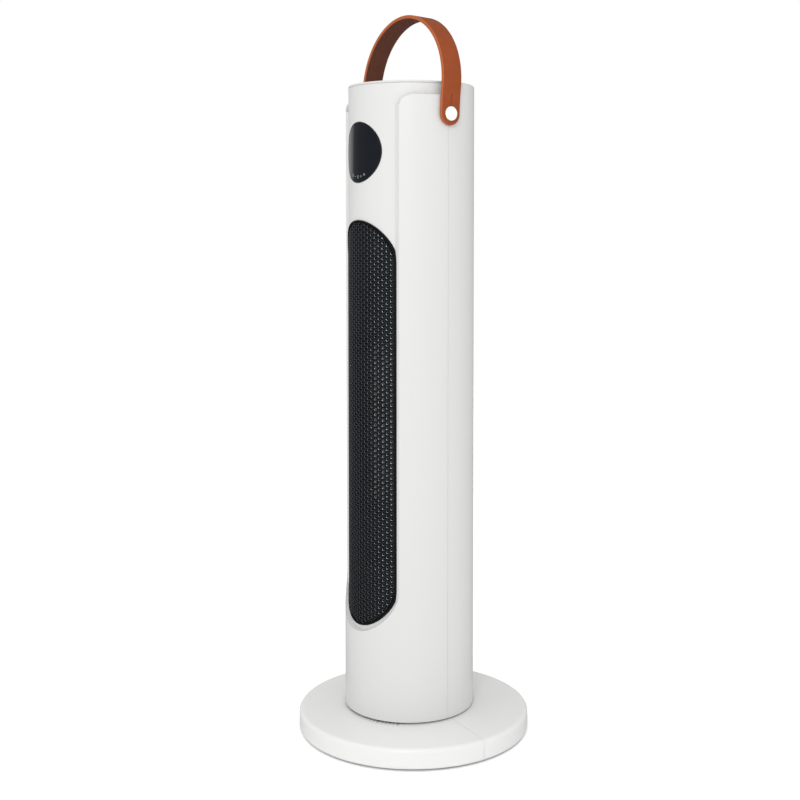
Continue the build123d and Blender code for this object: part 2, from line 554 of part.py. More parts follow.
# ---------------------------------------------------------------- rear power switch
switch = block(-11, 11, 64, 65.6, SWITCH_Z - 9.3, SWITCH_Z + 9.3)
switch += block(-9.5, 9.5, 45, 64, SWITCH_Z - 8, SWITCH_Z + 8)
room = block(-ROCKER_HALF_W - 0.3, ROCKER_HALF_W + 0.3, 60, 70, SWITCH_Z - 6.6, SWITCH_Z + 6.6)
room += along_x(7.0, -ROCKER_HALF_W - 0.3, ROCKER_HALF_W + 0.3, ROCKER_Y, SWITCH_Z)
switch -= room
switch -= along_x(1.5, -9, 9, ROCKER_Y, SWITCH_Z)
for x in (-5, 5):
    switch += block(x - 0.4, x + 0.4, 36, 45, SWITCH_Z - 2.5, SWITCH_Z + 2.5)
save(switch, "power_switch")
rocker = along_x(ROCKER_R, -ROCKER_HALF_W, ROCKER_HALF_W, ROCKER_Y, SWITCH_Z)
rocker = rocker & block(-20, 20, ROCKER_Y - 3.5, 80, SWITCH_Z - ROCKER_HALF_H, SWITCH_Z + ROCKER_HALF_H)
rocker -= along_x(40, -20, 20, ROCKER_Y + ROCKER_R + 38.7, SWITCH_Z)
rocker += along_x(1.45, -8.8, 8.8, ROCKER_Y, SWITCH_Z)
save(rocker, "power_rocker")


# ---------------------------------------------------------------- leather handle and its studs
def strap_edge(outward):
    # one side of the strap: straight legs, a slight outward bow, then a round arch
    x = STRAP_X + STRAP_T / 2
    bow_r = BOW_LEN / sin(radians(BOW_DEG))
    bow_x = x + bow_r
    arch_r = (x + bow_r * (1 - cos(radians(BOW_DEG)))) / cos(radians(BOW_DEG))
    arch_z = STRAP_TOP - STRAP_T / 2 - arch_r
    bow_z = arch_z - arch_r * sin(radians(BOW_DEG)) - BOW_LEN
    return [Line((x + outward, STUD_Z), (x + outward, bow_z)),
            CenterArc((bow_x, bow_z), bow_r - outward, 180, -BOW_DEG),
            CenterArc((0, arch_z), arch_r + outward, -BOW_DEG, 180 + 2 * BOW_DEG),
            CenterArc((-bow_x, bow_z), bow_r - outward, BOW_DEG, -BOW_DEG),
            Line((-x - outward, bow_z), (-x - outward, STUD_Z))]


def handle_strap():
    outer, inner = strap_edge(STRAP_T / 2), strap_edge(-STRAP_T / 2)
    ends = [Line(outer[0] @ 0, inner[0] @ 0), Line(outer[-1] @ 1, inner[-1] @ 1)]
    edges = [e for line in outer + inner + ends for e in line.edges()]
    strap = extrude(Plane.XZ * make_face(edges), STRAP_W / 2, both=True)
    for side in (-1, 1):
        x0, x1 = sorted((side * STRAP_X, side * (STRAP_X + STRAP_T)))
        strap += along_x(STRAP_W / 2, x0, x1, 0, STUD_Z)
    strap -= along_x(STUD_NECK_R + 0.05, -WIDE, WIDE, 0, STUD_Z)
    strap -= block(-WIDE, WIDE, -SLIT_W / 2, SLIT_W / 2, STUD_Z, STUD_Z + SLIT_LEN)
    # the strap stands leaning back a little about its studs
    return Pos(0, 0, STUD_Z) * Rot(-STRAP_LEAN_DEG, 0, 0) * Pos(0, 0, -STUD_Z) * strap


save(handle_strap(), "handle_strap")


def handle_stud():
    out = STRAP_X + STRAP_T + 0.05
    head = cyl(STUD_HEAD_R, out, out + STUD_HEAD_T)
    head = fillet(head.edges().filter_by(GeomType.CIRCLE).sort_by(Axis.Z)[-1], 1.5)
    stud = head + cyl(STUD_NECK_R, 61, out) + cyl(7.5, 60.6, 62.4)
    return Pos(0, 0, STUD_Z) * Rot(0, 90, 0) * stud


stud = handle_stud()
save(stud, "handle_stud_right")
save(Rot(0, 0, 180) * stud, "handle_stud_left")
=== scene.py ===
import bpy
from math import asin, atan2, cos, pi, radians, sin, sqrt
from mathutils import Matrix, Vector


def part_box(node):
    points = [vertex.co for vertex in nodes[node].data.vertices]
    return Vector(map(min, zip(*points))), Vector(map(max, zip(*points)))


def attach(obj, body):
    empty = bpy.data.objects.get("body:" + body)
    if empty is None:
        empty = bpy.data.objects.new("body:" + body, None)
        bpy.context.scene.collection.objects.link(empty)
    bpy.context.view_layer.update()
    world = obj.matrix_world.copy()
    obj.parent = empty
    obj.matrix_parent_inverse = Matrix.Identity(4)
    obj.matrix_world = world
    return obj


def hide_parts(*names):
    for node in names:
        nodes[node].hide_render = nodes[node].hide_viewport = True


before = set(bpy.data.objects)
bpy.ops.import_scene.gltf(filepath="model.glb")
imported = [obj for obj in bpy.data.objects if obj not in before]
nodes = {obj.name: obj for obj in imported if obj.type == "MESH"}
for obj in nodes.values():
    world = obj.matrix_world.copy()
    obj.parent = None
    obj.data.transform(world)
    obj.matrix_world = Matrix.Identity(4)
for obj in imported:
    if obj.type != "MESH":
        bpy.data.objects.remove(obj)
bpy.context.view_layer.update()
for thing in bpy.context.selected_objects:
    thing.select_set(False)


# sizes read from the frame
def span(node, axis):
    low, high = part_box(node)
    return high[axis] - low[axis]


def middle(node, axis):
    low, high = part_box(node)
    return (high[axis] + low[axis]) / 2


towerR = span("rear_housing", 0) / 2
towerY = middle("turntable", 1)
baseR = span("base_rear", 0) / 2
capR = span("top_cap", 0) / 2
recessR = capR
grilleLow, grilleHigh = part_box("grille_frame")
meshLow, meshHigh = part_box("grille_mesh")
lensLow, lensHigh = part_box("display_lens")
displayZ = middle("display_lens", 2)
print("frame: tower radius", round(towerR, 4), "base radius", round(baseR, 4))


# shader helpers
class Sock:
    # a socket, so that shader maths reads as plain maths
    def __init__(self, tree, socket):
        self.tree, self.socket = tree, socket

    def maths(self, operation, *values):
        return self.tree.node("ShaderNodeMath", {"operation": operation}, *values)

    def __add__(self, other):
        return self.maths("ADD", self, other)

    __radd__ = __add__

    def __mul__(self, other):
        return self.maths("MULTIPLY", self, other)

    __rmul__ = __mul__


class Shader:
    # one material's node tree
    def __init__(self, name, color, roughness=0.5, metallic=0.0, **extra):
        self.material = bpy.data.materials.new(name)
        self.material.use_nodes = True
        self.tree = self.material.node_tree
        self.bsdf = self.tree.nodes["Principled BSDF"]
        self.put("Base Color", color)
        self.put("Roughness", roughness)
        self.put("Metallic", metallic)
        for key, value in extra.items():
            self.put(key.replace("_", " "), value)
        self.coords = self.node("ShaderNodeTexCoord", out="Object")

    def put(self, name, value):
        socket = self.bsdf.inputs[name]
        if isinstance(value, Sock):
            self.tree.links.new(value.socket, socket)
        else:
            socket.default_value = (*value, 1.0) if isinstance(value, tuple) and len(value) == 3 else value

    def node(self, kind, settings=None, *values, out=0, **inputs):
        made = self.tree.nodes.new(kind)
        for key, value in (settings or {}).items():
            setattr(made, key, value)
        pairs = list(enumerate(values)) + [(k.replace("_", " "), v) for k, v in inputs.items()]
        for key, value in pairs:
            if isinstance(value, Sock):
                self.tree.links.new(value.socket, made.inputs[key])
            elif isinstance(value, tuple) and len(value) == 3 and made.inputs[key].type == "RGBA":
                made.inputs[key].default_value = (*value, 1.0)
            else:
                made.inputs[key].default_value = value
        return Sock(self, made.outputs[out])

    def noise(self, scale, detail=2.0, roughness=0.5, at=None):
        return self.node("ShaderNodeTexNoise", {}, Vector=at or self.coords, Scale=scale, Detail=detail,
                         Roughness=roughness)

    def mix(self, factor, a, b):
        made = self.tree.nodes.new("ShaderNodeMix")
        made.data_type = "RGBA"
        for key, value in (("Factor", factor), ("A", a), ("B", b)):
            socket = [i for i in made.inputs if i.name == key and (key == "Factor" or i.type == "RGBA")][0]
            if isinstance(value, Sock):
                self.tree.links.new(value.socket, socket)
            elif key == "Factor":
                socket.default_value = value
            else:
                socket.default_value = (*value, 1.0)
        return Sock(self, [o for o in made.outputs if o.type == "RGBA"][0])

    def bump(self, height, strength, distance, under=None):
        made = self.tree.nodes.new("ShaderNodeBump")
        made.inputs["Strength"].default_value = strength
        made.inputs["Distance"].default_value = distance
        self.tree.links.new(height.socket, made.inputs["Height"])
        if under is not None:
            self.tree.links.new(under.socket, made.inputs["Normal"])
        return Sock(self, made.outputs[0])

    def softEdges(self, radius):
        made = self.tree.nodes.new("ShaderNodeBevel")
        made.samples = 6
        made.inputs["Radius"].default_value = radius
        return Sock(self, made.outputs[0])


# materials
def mouldedWhite(name, color, roughness, edge):
    # satin moulded plastic: fine spark texture, hardly visible flow marks
    s = Shader(name, color, roughness)
    grain = s.noise(2600.0, 2.0)
    flow = s.noise(9.0, 3.0)
    s.put("Base Color", s.mix(flow, tuple(c * 0.985 for c in color), color))
    s.put("Roughness", roughness - 0.05 + 0.1 * s.noise(420.0, 3.0))
    s.put("Normal", s.bump(grain, 0.08, 0.00012, under=s.softEdges(edge)))
    return s.material


def mouldedDark(name, color, roughness, edge=0.0004):
    s = Shader(name, color, roughness)
    grain = s.noise(1800.0, 3.0)
    dust = s.noise(35.0, 4.0)
    s.put("Base Color", s.mix(dust, color, tuple(min(1.0, c * 1.35 + 0.004) for c in color)))
    s.put("Roughness", roughness - 0.06 + 0.12 * s.noise(160.0, 3.0))
    s.put("Normal", s.bump(grain, 0.15, 0.00015, under=s.softEdges(edge)))
    return s.material


def glossBlack(name, color, roughness=0.06, level=0.4):
    s = Shader(name, color, roughness, Specular_IOR_Level=level)
    smear = s.noise(22.0, 4.0, 0.6)
    s.put("Roughness", roughness + 0.05 * smear)
    s.put("Base Color", s.mix(s.noise(6.0, 2.0), color, tuple(c * 1.5 for c in color)))
    return s.material


def platedSteel(name, color, roughness):
    s = Shader(name, color, roughness, 1.0)
    blotch = s.noise(60.0, 4.0, 0.6)
    lines = s.node("ShaderNodeTexNoise", {}, Vector=s.node("ShaderNodeMapping", {}, Vector=s.coords,
                   Scale=Vector((1.0, 1.0, 60.0))), Scale=90.0, Detail=3.0)
    s.put("Base Color", s.mix(blotch, tuple(c * 0.86 for c in color), color))
    s.put("Roughness", roughness - 0.08 + 0.16 * lines)
    s.put("Normal", s.bump(lines, 0.12, 0.00008, under=s.softEdges(0.0003)))
    return s.material


def circuitBoard(name, color):
    # solder mask over copper tracks
    s = Shader(name, color, 0.35)
    tracks = s.node("ShaderNodeTexBrick", {"offset": 0.5, "squash": 1.0}, Vector=s.coords, Scale=190.0,
                    Mortar_Size=0.035, out="Fac")
    s.put("Base Color", s.mix(tracks, color, tuple(min(1.0, c * 1.9 + 0.02) for c in color)))
    s.put("Roughness", 0.3 + 0.15 * s.noise(240.0, 2.0))
    s.put("Normal", s.bump(tracks, 0.3, 0.0001))
    return s.material


def grilleBlack(name, color, level, roughness):
    # baked black enamel on punched sheet
    s = Shader(name, color, roughness, 0.0, Specular_IOR_Level=level)
    s.put("Roughness", roughness - 0.04 + 0.16 * s.noise(700.0, 2.0))
    s.put("Base Color", s.mix(s.noise(40.0, 3.0), tuple(c * 0.8 for c in color), tuple(c * 1.4 for c in color)))
    s.put("Normal", s.bump(s.noise(2400.0, 2.0), 0.1, 0.0001))
    return s.material


def wornEdge(name, color, roughness):
    s = Shader(name, color, roughness, 1.0)
    s.put("Roughness", roughness - 0.06 + 0.12 * s.noise(500.0, 3.0))
    s.put("Base Color", s.mix(s.noise(90.0, 3.0), tuple(c * 0.75 for c in color), color))
    return s.material


def rubberDark(name, color):
    s = Shader(name, color, 0.75)
    s.put("Roughness", 0.68 + 0.2 * s.noise(300.0, 3.0))
    s.put("Base Color", s.mix(s.noise(80.0, 4.0), color, tuple(c * 1.6 for c in color)))
    s.put("Normal", s.bump(s.noise(1500.0, 3.0), 0.25, 0.0002))
    return s.material


def leather(name, color, dark, edgeWear, grainDepth, roughness):
    # pebbled grain with open pores and a little mottling from the dye
    s = Shader(name, color, roughness, Specular_IOR_Level=0.3)
    cells = s.node("ShaderNodeTexVoronoi", {"feature": "DISTANCE_TO_EDGE"}, Vector=s.coords, Scale=1050.0,
                   Randomness=1.0, out="Distance")
    pores = s.noise(2300.0, 4.0, 0.6)
    mottle = s.noise(70.0, 5.0, 0.6)
    long = s.noise(14.0, 3.0)
    tone = s.mix(mottle, dark, color)
    s.put("Base Color", s.mix(long * edgeWear, tone, tuple(min(1.0, c * 1.45 + 0.02) for c in color)))
    s.put("Roughness", roughness - 0.08 + 0.2 * mottle)
    s.put("Normal", s.bump(cells * 8.0 + pores * 0.6, grainDepth, 0.0003))
    return s.material


def ceramicRough(name, color):
    s = Shader(name, color, 0.85)
    s.put("Base Color", s.mix(s.noise(160.0, 4.0), tuple(c * 0.7 for c in color), color))
    s.put("Roughness", 0.75 + 0.2 * s.noise(300.0, 2.0))
    s.put("Normal", s.bump(s.noise(900.0, 4.0), 0.4, 0.0003))
    return s.material


whiteTower = mouldedWhite("whiteTower", (0.60, 0.60, 0.593), 0.42, 0.0007)
whiteBase = mouldedWhite("whiteBase", (0.70, 0.70, 0.692), 0.42, 0.0008)
whiteStud = mouldedWhite("whiteStud", (0.82, 0.82, 0.81), 0.25, 0.0006)
blackPlastic = mouldedDark("blackPlastic", (0.010, 0.010, 0.011), 0.45)
framePlastic = mouldedDark("framePlastic", (0.030, 0.028, 0.026), 0.6)
acetal = mouldedDark("acetal", (0.62, 0.60, 0.54), 0.4)
greyPlastic = mouldedDark("greyPlastic", (0.32, 0.32, 0.31), 0.5)
relayBlue = mouldedDark("relayBlue", (0.02, 0.07, 0.28), 0.4)
capacitorYellow = mouldedDark("capacitorYellow", (0.55, 0.34, 0.03), 0.4)
switchBlack = mouldedDark("switchBlack", (0.012, 0.012, 0.013), 0.28)
steelBright = platedSteel("steelBright", (0.60, 0.60, 0.61), 0.3)
steelZinc = platedSteel("steelZinc", (0.52, 0.53, 0.55), 0.38)
bushBronze = platedSteel("bushBronze", (0.45, 0.28, 0.12), 0.4)
finAluminium = platedSteel("finAluminium", (0.80, 0.79, 0.76), 0.45)
boardGreen = circuitBoard("boardGreen", (0.010, 0.085, 0.035))
heaterCeramic = ceramicRough("heaterCeramic", (0.30, 0.28, 0.26))
rubber = rubberDark("rubber", (0.014, 0.014, 0.014))
lensGloss = glossBlack("lensGloss", (0.0040, 0.0055, 0.0075))
bezelGloss = glossBlack("bezelGloss", (0.010, 0.010, 0.012), 0.12, 0.5)
meshEnamel = grilleBlack("meshEnamel", (0.0065, 0.0088, 0.0100), 0.06, 0.45)
rimEnamel = grilleBlack("rimEnamel", (0.0050, 0.0060, 0.0070), 0.12, 0.4)
meshLip = wornEdge("meshLip", (0.56, 0.59, 0.62), 0.32)   # the worn, rolled edges of the holes shine
leatherOuter = leather("leatherOuter", (0.30, 0.060, 0.0085), (0.19, 0.033, 0.005), 0.3, 0.3, 0.42)
leatherInner = leather("leatherInner", (0.125, 0.036, 0.016), (0.080, 0.020, 0.009), 0.2, 0.5, 0.75)
leatherEdge = leather("leatherEdge", (0.40, 0.100, 0.024), (0.30, 0.062, 0.014), 0.35, 0.2, 0.45)

cadMaterials = {
    "base_feet": rubber, "base_screws": steelBright, "cord_gland": rubber, "pedestal_hub": blackPlastic,
    "fixed_gear": acetal, "glide_ring": acetal, "spindle_retainer": steelZinc, "retainer_screws": steelBright,
    "turntable": blackPlastic, "housing_screws": steelBright, "display_module": framePlastic,
    "display_board": boardGreen, "display_holder": framePlastic, "air_duct": blackPlastic,
    "heater_frame": framePlastic, "ceramic_bars": heaterCeramic, "heater_fins": finAluminium,
    "thermal_cutout": steelZinc, "fan_motor": steelZinc, "motor_bracket": steelZinc, "motor_screws": steelBright,
    "shaft_bush": bushBronze, "bearing_bracket": steelZinc, "fan_scroll": framePlastic, "power_board": boardGreen,
    "relays": relayBlue, "filter_capacitor": capacitorYellow, "terminal_block": greyPlastic,
    "tilt_switch": switchBlack, "board_standoffs": acetal, "power_switch": switchBlack,
    "oscillation_motor": steelZinc, "oscillation_motor_screws": steelBright, "drive_pinion": acetal,
    "impeller": blackPlastic, "fan_shaft": steelBright, "power_rocker": switchBlack,
}
for name, material in cadMaterials.items():
    nodes[name].data.materials.clear()
    nodes[name].data.materials.append(material)
print("materials done")


# modelling helpers
def deselect():
    if bpy.context.object and bpy.context.object.mode != "OBJECT":
        bpy.ops.object.mode_set(mode="OBJECT")
    bpy.ops.object.select_all(action="DESELECT")


def only(obj):
    deselect()
    obj.select_set(True)
    bpy.context.view_layer.objects.active = obj


def modify(obj, kind, **settings):
    only(obj)
    made = obj.modifiers.new(kind.title(), kind)
    for key, value in settings.items():
        setattr(made, key, value)
    bpy.ops.object.modifier_apply(modifier=made.name)


def settle(obj):
    only(obj)
    bpy.ops.object.transform_apply(location=True, rotation=True, scale=True)


def smooth(obj, angle=32.0):
    only(obj)
    bpy.ops.object.shade_smooth_by_angle(angle=radians(angle))


def mergedCopy(node, name, material):
    # the frame's own shape with its loose triangles joined, so that it shades smoothly
    copy = bpy.data.objects.new(name, nodes[node].data.copy())
    bpy.context.scene.collection.objects.link(copy)
    copy.data.materials.clear()
    copy.data.materials.append(material)
    only(copy)
    bpy.ops.object.mode_set(mode="EDIT")
    bpy.ops.mesh.select_all(action="SELECT")
    bpy.ops.mesh.remove_doubles(threshold=0.000005)
    bpy.ops.object.mode_set(mode="OBJECT")
    smooth(copy)
    modify(copy, "WEIGHTED_NORMAL", keep_sharp=True)   # the long thin triangles shade evenly
    return copy


def finishPiece(obj, body, slot, *replaced):
    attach(obj, body)
    if replaced:
        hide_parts(*replaced)
    return obj


def addBlock(low, high):
    deselect()
    centre = [(a + b) / 2 for a, b in zip(low, high)]
    bpy.ops.mesh.primitive_cube_add(size=1.0, location=centre)
    block = bpy.context.object
    block.scale = [b - a for a, b in zip(low, high)]
    settle(block)
    return block


def addRod(radius, centre, length, axis, sides=48):
    deselect()
    turn = {"X": (0, pi / 2, 0), "Y": (pi / 2, 0, 0), "Z": (0, 0, 0)}[axis]
    bpy.ops.mesh.primitive_cylinder_add(vertices=sides, radius=radius, depth=length,
                                        location=centre, rotation=turn)
    rod = bpy.context.object
    settle(rod)
    return rod


def cut(obj, tool, operation="DIFFERENCE"):
    modify(obj, "BOOLEAN", object=tool, operation=operation, solver="EXACT")
    bpy.data.objects.remove(tool)


def joined(pieces, name=None):
    deselect()
    for piece in pieces:
        piece.select_set(True)
    bpy.context.view_layer.objects.active = pieces[0]
    if len(pieces) > 1:
        bpy.ops.object.join()
    if name:
        pieces[0].name = name
    return pieces[0]


def towerRod(radius, low, high, sides=None):
    return addRod(radius, (0, towerY, (low + high) / 2), high - low, "Z", sides or housing["sides"])


def frontRod(radius, x, z, near, far, sides=96):
    # a rod along Y, its ends given from the tower's axis
    return addRod(radius, (x, towerY + (near + far) / 2, z), far - near, "Y", sides)


def slotShape(half, low, high, near, far):
    tool = addBlock((-half, towerY + near, low + half), (half, towerY + far, high - half))
    cut(tool, frontRod(half, 0, low + half, near, far, 128), "UNION")
    cut(tool, frontRod(half, 0, high - half, near, far, 128), "UNION")
    return tool


# housing shells, turned from rods with many sides so that the walls stay smooth
housing = {
    "sides": 256,
    "wall": 0.0025,
    "land": 0.0465,          # the flat of the front recess, from the tower's axis
    "recessLow": 0.1145,
    "bandZ": 0.6545,         # top of the raised side panels
    "corner": 0.010,
    "displayHole": 0.0305,
    "studHole": 0.00405,
    "seam": 0.00005,
    "topRound": 0.0016,
    "screwX": 0.040,
    "screwZ": (0.080, 0.205, 0.560),
    "besideCorner": 0.018,   # the wall is thicker in front of this, behind the round corners
    "frontBossR": 0.0045,
    "rearBossR": 0.0052,
    "bossWebHalf": 0.0015,
    "screwWellR": 0.0037,
    "screwWellNear": 0.008,  # the well's floor, from the tower's axis
}
wide = 0.09                  # reaches past the tower on either side


def bosses(near, far, radius):
    made = []
    for side in (-1, 1):
        for z in housing["screwZ"]:
            x, edge = side * housing["screwX"], side * (towerR - housing["wall"] / 2)
            made.append(frontRod(radius, x, z, near, far, 24))
            web = housing["bossWebHalf"]
            made.append(addBlock((min(x, edge), towerY + near, z - web), (max(x, edge), towerY + far, z + web)))
            cut(made[-2], made.pop(), "UNION")
    return joined(made)


def makeFrontHousing():
    low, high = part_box("front_housing")
    wall, band = housing["wall"], housing["bandZ"]
    landX = sqrt(towerR**2 - housing["land"] ** 2)
    recessEdge = sqrt(recessR**2 - housing["land"] ** 2) - 0.0002   # where the land runs out into the recess
    body = towerRod(towerR, low[2], high[2])
    middleZ = housing["recessLow"] + landX
    recess = addBlock((-landX, towerY - wide, middleZ), (landX, towerY - housing["land"], high[2] + 0.01))
    cut(recess, frontRod(landX, 0, middleZ, -wide, -housing["land"], 256), "UNION")
    cut(body, recess)
    cut(body, addBlock((-wide, towerY - wide, band), (wide, towerY + 0.001, high[2] + 0.01)))
    for side in (-1, 1):
        near, far = side * recessEdge, side * (landX + housing["corner"])
        corner = addBlock((min(near, far), towerY - wide, band - housing["corner"]),
                          (max(near, far), towerY - 0.02, band + 0.001))
        cut(corner, frontRod(housing["corner"], far, band - housing["corner"], -wide - 0.01, 0, 96))
        cut(body, corner)
    cut(body, towerRod(recessR, low[2], high[2]), "UNION")
    room = towerRod(towerR - wall, 0, band - wall)
    cut(room, addBlock((-wide, towerY - wide, housing["recessLow"] - wall),
                       (wide, towerY - housing["land"] + wall, 1)))
    cut(room, addBlock((-wide, towerY - wide, band - housing["corner"] - wall),
                       (wide, towerY - housing["besideCorner"], 1)))
    cut(room, towerRod(recessR - wall, -0.01, 0.9), "UNION")
    cut(room, bosses(-0.015, 0, housing["frontBossR"]))
    cut(body, room)
    cut(body, addBlock((-wide, towerY - housing["seam"], -0.1), (wide, towerY + wide, 1)))
    cut(body, slotShape(holeHalf, holeLow, holeHigh, -wide, -0.02))
    cut(body, frontRod(housing["displayHole"], 0, displayZ, -wide, -0.02, 128))
    cut(body, addRod(housing["studHole"], (0, towerY, middle("handle_stud_right", 2)), 2 * wide, "X"))
    body.name = "frontHousing"
    body.data.materials.clear()
    body.data.materials.append(whiteTower)
    smooth(body, 28)
    return body


def makeRearHousing():
    low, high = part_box("rear_housing")
    wall = housing["wall"]
    body = towerRod(towerR, low[2], high[2])
    only(body)
    bpy.ops.object.mode_set(mode="EDIT")
    bpy.ops.mesh.select_all(action="DESELECT")
    bpy.ops.object.mode_set(mode="OBJECT")
    for edge in body.data.edges:
        a, b = (body.data.vertices[i].co for i in edge.vertices)
        edge.select = min(a.z, b.z) > high[2] - 0.001
    bpy.ops.object.mode_set(mode="EDIT")
    bpy.ops.mesh.select_mode(type="EDGE")
    bpy.ops.mesh.bevel(offset=housing["topRound"], segments=5, affect="EDGES")
    bpy.ops.mesh.select_mode(type="FACE")
    bpy.ops.object.mode_set(mode="OBJECT")
    room = towerRod(towerR - wall, 0, high[2] - 0.003)
    cut(room, towerRod(recessR + 0.0001, -0.01, 0.9), "UNION")
    switchLow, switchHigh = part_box("power_switch")
    switchZ = (switchLow[2] + switchHigh[2]) / 2
    cut(room, addBlock((-0.016, towerY + 0.0585, switchZ - 0.013), (0.016, towerY + 0.066, switchZ + 0.013)))
    cut(room, bosses(0, 0.060, housing["rearBossR"]))
    cut(body, room)
    cut(body, addBlock((-wide, towerY - wide, -0.1), (wide, towerY + housing["seam"], 1)))
    cut(body, addBlock((-0.0125, towerY + 0.064, switchZ - 0.0105), (0.0125, towerY + wide, switchZ + 0.0105)))
    cut(body, addBlock((-0.0096, towerY + 0.04, switchZ - 0.0081), (0.0096, towerY + wide, switchZ + 0.0081)))
    for side in (-1, 1):
        for z in housing["screwZ"]:
            x, near = side * housing["screwX"], housing["screwWellNear"]
            cut(body, frontRod(housing["screwWellR"], x, z, near, wide, 32))
    cut(body, addRod(housing["studHole"], (0, towerY, middle("handle_stud_right", 2)), 2 * wide, "X"))
    cut(body, makeIntakeSlots())
    body.name = "rearHousing"
    body.data.materials.clear()
    body.data.materials.append(whiteTower)
    smooth(body, 28)
    return body


# air intake at the back: rows of short slots between upright ribs
intake = {"rows": 19, "columns": 7, "pitch": 0.0086, "low": 0.253, "halfDeg": 47.0, "height": 0.0032, "rib": 1.1}


def makeIntakeSlots():
    step = 2 * intake["halfDeg"] / intake["columns"]
    half = radians(step / 2 - intake["rib"])
    nearR, farR = towerR - 0.006, towerR + 0.004
    columns = []
    for column in range(intake["columns"]):
        turn = radians(-intake["halfDeg"] + step * (column + 0.5))
        low, high = intake["low"] - intake["height"] / 2, intake["low"] + intake["height"] / 2
        wedge = addBlock((-1, nearR, low), (1, farR, high))
        for v in wedge.data.vertices:
            across, reach = (half if v.co.x > 0 else -half), v.co.y
            v.co.x = reach * sin(turn + across) / cos(across)
            v.co.y = towerY + reach * cos(turn + across) / cos(across)
        columns.append(wedge)
    slots = joined(columns)
    modify(slots, "ARRAY", count=intake["rows"], use_relative_offset=False, use_constant_offset=True,
           constant_offset_displace=(0, 0, intake["pitch"]))
    only(slots)
    bpy.ops.object.mode_set(mode="EDIT")
    bpy.ops.mesh.select_all(action="SELECT")
    bpy.ops.mesh.normals_make_consistent(inside=False)
    bpy.ops.object.mode_set(mode="OBJECT")
    return slots


def makeLens():
    # a round window cut from a curved sheet
    lens = frontRod(lensHigh[0], 0, displayZ, -wide, -0.02, 160)
    sheet = towerRod(towerY - lensLow[1], displayZ - 0.05, displayZ + 0.05, 512)
    cut(sheet, towerRod(recessR - 0.0022, displayZ - 0.06, displayZ + 0.06))
    cut(lens, sheet, "INTERSECT")
    modify(lens, "BEVEL", width=0.0002, segments=2, limit_method="ANGLE", angle_limit=radians(60))
    lens.name = "displayLens"
    lens.data.materials.append(lensGloss)
    smooth(lens, 30)
    return lens


def makeBezel():
    bezelLow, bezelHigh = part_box("display_bezel")
    ring = frontRod(bezelHigh[0], 0, displayZ, -wide, -0.02, 160)
    cut(ring, frontRod(lensHigh[0] + 0.00005, 0, displayZ, -wide - 0.01, 0, 160))
    sheet = towerRod(towerY - bezelLow[1], displayZ - 0.05, displayZ + 0.05, 512)
    cut(sheet, towerRod(recessR - 0.004, displayZ - 0.06, displayZ + 0.06))
    cut(ring, sheet, "INTERSECT")
    modify(ring, "BEVEL", width=0.0003, segments=3, limit_method="ANGLE", angle_limit=radians(60))
    ring.name = "displayBezel"
    ring.data.materials.append(bezelGloss)
    smooth(ring, 30)
    return ring


holeHalf, holeLow, holeHigh = 0.044, grilleLow[2] + 0.003, grilleHigh[2] - 0.003
finishPiece(makeFrontHousing(), "tower", "white_housing", "front_housing")
finishPiece(makeRearHousing(), "tower", "white_housing", "rear_housing")
finishPiece(makeLens(), "tower", "display_black", "display_lens")
finishPiece(makeBezel(), "tower", "bezel_dark", "display_bezel")
for node, name, body, slot, material in (
        ("top_cap", "topCap", "tower", "white_housing", whiteTower),
        ("base_front", "baseFront", "base", "white_base", whiteBase),
        ("base_rear", "baseRear", "base", "white_base", whiteBase),
        ("grille_frame", "grilleRim", "tower", "black_plastic", rimEnamel)):
    finishPiece(mergedCopy(node, name, material), body, slot, node)
print("shells done")


# punched grille: one staggered cell with a dished round hole, copied into a curved sheet
grille = {
    "pitchZ": 0.0052,          # between holes in a column
    "holeR": 0.0014,
    "lipR": 0.00166,           # the punched lip round each hole
    "dish": 0.0002,
    "sheet": 0.0007,
    "underRim": 0.0019,        # the sheet runs this far under the rim
}


def grilleCell():
    # a hexagon on the sheet, a lip ring and a dished hole edge, twelve points each
    corner = grille["pitchZ"] / sqrt(3)
    rings = ((None, 0.0), (grille["lipR"], 0.0), (grille["holeR"], -grille["dish"]))
    bpy.ops.mesh.primitive_circle_add(vertices=12, radius=1.0, fill_type="NOTHING", location=(0, 0, 0))
    cell = bpy.context.object
    bpy.ops.object.mode_set(mode="EDIT")
    bpy.ops.mesh.extrude_edges_move()
    bpy.ops.transform.resize(value=(0.5, 0.5, 1.0))
    bpy.ops.mesh.extrude_edges_move()
    bpy.ops.transform.resize(value=(0.5, 0.5, 1.0))
    bpy.ops.object.mode_set(mode="OBJECT")
    for v in cell.data.vertices:
        turn = atan2(v.co.y, v.co.x)
        ring = {1.0: 0, 0.5: 1, 0.25: 2}[round(v.co.xy.length, 2)]
        radius, depth = rings[ring]
        if ring == 0:
            corners = round(turn / (pi / 6)) % 2 == 0
            radius = corner if corners else corner * cos(pi / 6)
        v.co = (cos(turn) * radius, sin(turn) * radius, depth)
    cell.data.materials.append(meshEnamel)
    cell.data.materials.append(meshLip)
    for face in cell.data.polygons:
        face.material_index = 1 if face.center.xy.length < grille["lipR"] else 0
    return cell


